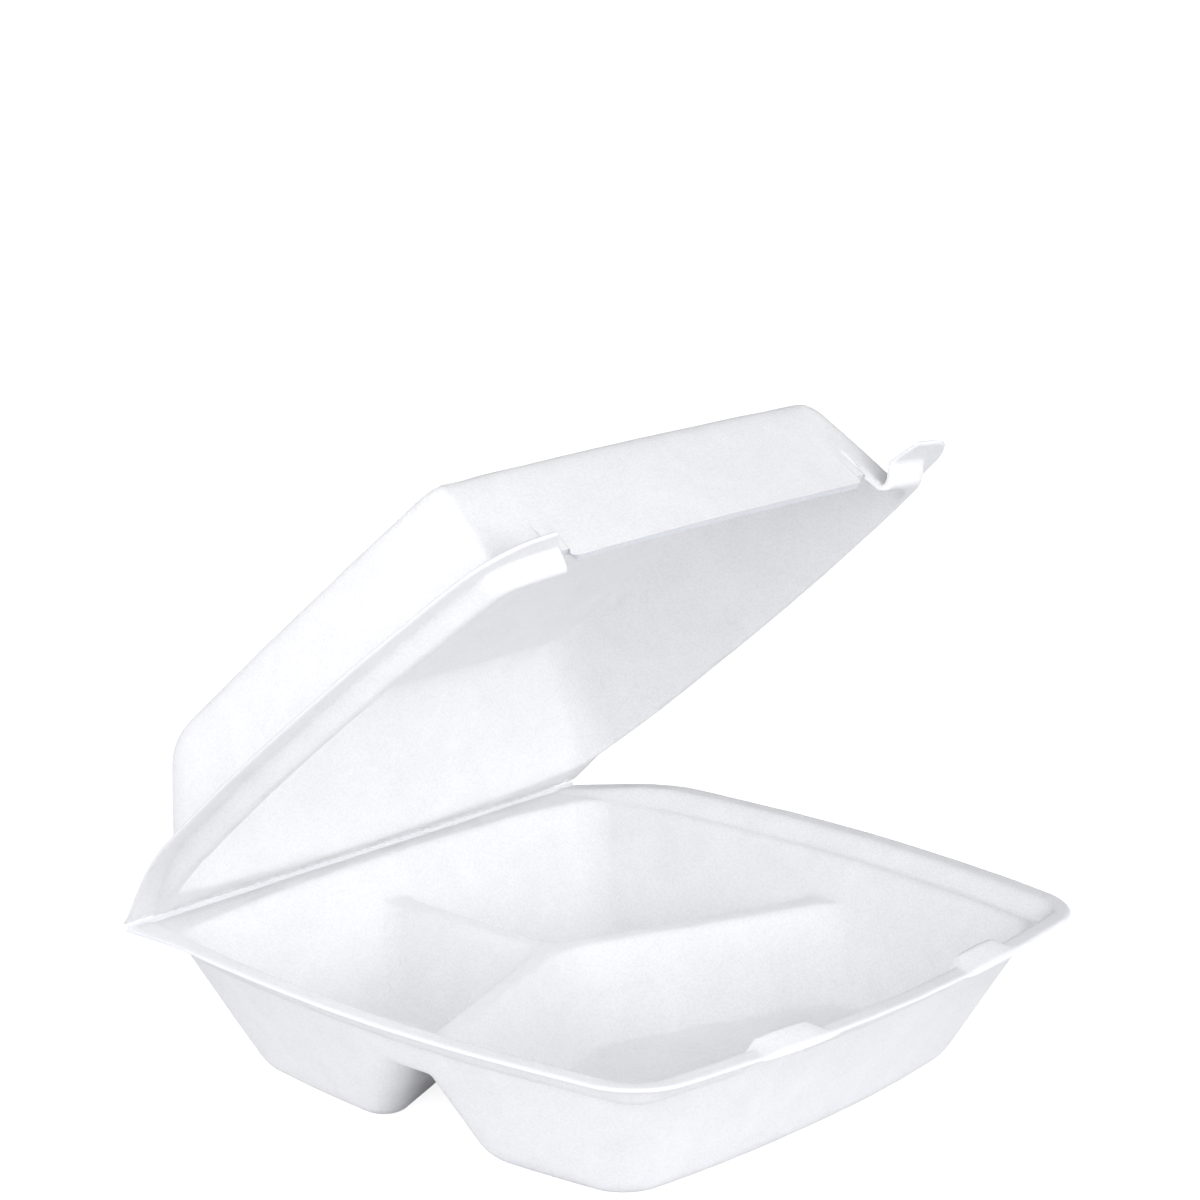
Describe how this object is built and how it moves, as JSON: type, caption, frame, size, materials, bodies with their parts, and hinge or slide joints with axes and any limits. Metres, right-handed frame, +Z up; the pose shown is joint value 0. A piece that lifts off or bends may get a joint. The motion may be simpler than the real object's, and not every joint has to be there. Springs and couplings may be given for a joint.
{
  "type": "foam clamshell container",
  "caption": "Hinged takeaway food box of white expanded foam: tray with divided compartments and a stepped rim, domed lid that folds over it, standing part open",
  "frame": {"origin": "centre of the bounding box of the part-open container, on the floor it stands on", "axes": "+X along the hinge to the right, +Y from the latch side to the hinge side, +Z up"},
  "size_m": [0.241, 0.2317, 0.2057],
  "materials": {
    "foam": "satin"
  },
  "bodies": {
    "tray": {"tray": "foam"},
    "lid": {"lid": "foam"}
  },
  "joints": [
    {"name": "lid_hinge", "type": "hinge", "parent": "tray", "child": "lid", "pos_m": [0, 0.11425, 0.044], "axis": [-1, 0, 0], "range_deg": [-40.8, 139.2]}
  ]
}
